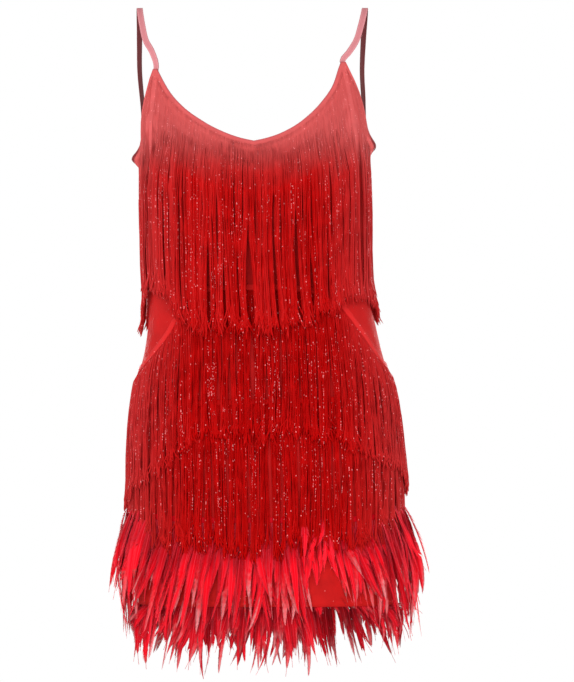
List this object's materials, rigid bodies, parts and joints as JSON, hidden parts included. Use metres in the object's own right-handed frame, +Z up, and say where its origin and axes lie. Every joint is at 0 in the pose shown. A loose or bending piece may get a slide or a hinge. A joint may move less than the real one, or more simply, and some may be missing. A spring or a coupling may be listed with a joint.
{
  "type": "fringe mini dress",
  "caption": "Sleeveless stretch mini dress with narrow shoulder straps, a soft V neck, tiers of long fringe and a feather hem, shown in its worn form.",
  "frame": {"origin": "midway between the undersides of the two shoulder straps, at their highest places, which is where the dress is held", "axes": "+Z up, -Y towards the front of the dress, +X towards the viewer's right when the front is looked at"},
  "size_m": [0.4527, 0.2862, 0.9326],
  "materials": {
    "base_cloth": "fine stretch knit with a soft sheen and small glitter dots",
    "strap_cloth": "flat folded knit, dusty pink on its outside",
    "fringe_yarn": "twisted glossy yarn with small bright specks",
    "dyed_feather": "matte soft vanes with paler drooping tips"
  },
  "bodies": {
    "root": {"front_panel": "base_cloth", "back_panel": "base_cloth", "strap_left": "strap_cloth", "strap_right": "strap_cloth", "fringe_neckline": "fringe_yarn", "fringe_sides_and_back": "fringe_yarn", "fringe_middle_front": "fringe_yarn", "fringe_middle_back": "fringe_yarn", "fringe_lower_front": "fringe_yarn", "fringe_lower_back": "fringe_yarn", "feathers_upper_front": "dyed_feather", "feathers_upper_back": "dyed_feather", "feathers_hem_front": "dyed_feather", "feathers_hem_back": "dyed_feather"}
  },
  "joints": []
}
